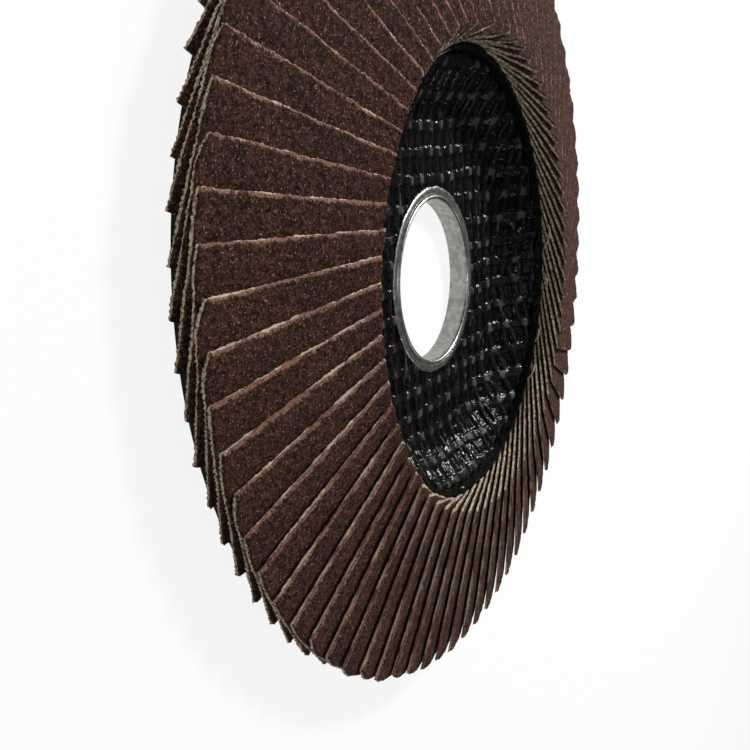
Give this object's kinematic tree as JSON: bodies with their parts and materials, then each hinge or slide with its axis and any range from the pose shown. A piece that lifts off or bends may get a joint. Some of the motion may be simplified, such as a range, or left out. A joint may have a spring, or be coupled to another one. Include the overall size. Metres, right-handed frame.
{
  "type": "flap disc",
  "caption": "Conical abrasive flap disc for an angle grinder, with cloth flaps shingled round a woven glass-fibre backing plate with a sunk hub and a steel arbor ring.",
  "frame": {"origin": "centre of the arbor bore at the hub's back face", "axes": "+Z along the bore axis out of the abrasive side, +X along the middle of the first flap"},
  "size_m": [0.1148, 0.1148, 0.0121],
  "materials": {
    "laminate": "black woven glass-fibre laminate in glossy resin",
    "ring_steel": "dull pressed steel",
    "adhesive": "dark cured adhesive",
    "abrasive_cloth": "brown grain on khaki cloth backing"
  },
  "bodies": {
    "root": {"backing_plate": "laminate", "arbor_ring": "ring_steel", "adhesive_bed": "adhesive", "flap_pair_01": "abrasive_cloth", "flap_pair_02": "abrasive_cloth", "flap_pair_03": "abrasive_cloth", "flap_pair_04": "abrasive_cloth", "flap_pair_05": "abrasive_cloth", "flap_pair_06": "abrasive_cloth", "flap_pair_07": "abrasive_cloth", "flap_pair_08": "abrasive_cloth", "flap_pair_09": "abrasive_cloth", "flap_pair_10": "abrasive_cloth", "flap_pair_11": "abrasive_cloth", "flap_pair_12": "abrasive_cloth", "flap_pair_13": "abrasive_cloth", "flap_pair_14": "abrasive_cloth", "flap_pair_15": "abrasive_cloth", "flap_pair_16": "abrasive_cloth", "flap_pair_17": "abrasive_cloth", "flap_pair_18": "abrasive_cloth", "flap_pair_19": "abrasive_cloth", "flap_pair_20": "abrasive_cloth", "flap_pair_21": "abrasive_cloth", "flap_pair_22": "abrasive_cloth", "flap_pair_23": "abrasive_cloth", "flap_pair_24": "abrasive_cloth", "flap_pair_25": "abrasive_cloth", "flap_pair_26": "abrasive_cloth", "flap_pair_27": "abrasive_cloth", "flap_pair_28": "abrasive_cloth", "flap_pair_29": "abrasive_cloth", "flap_pair_30": "abrasive_cloth", "flap_pair_31": "abrasive_cloth", "flap_pair_32": "abrasive_cloth", "flap_pair_33": "abrasive_cloth", "flap_pair_34": "abrasive_cloth", "flap_pair_35": "abrasive_cloth", "flap_pair_36": "abrasive_cloth"}
  },
  "joints": []
}
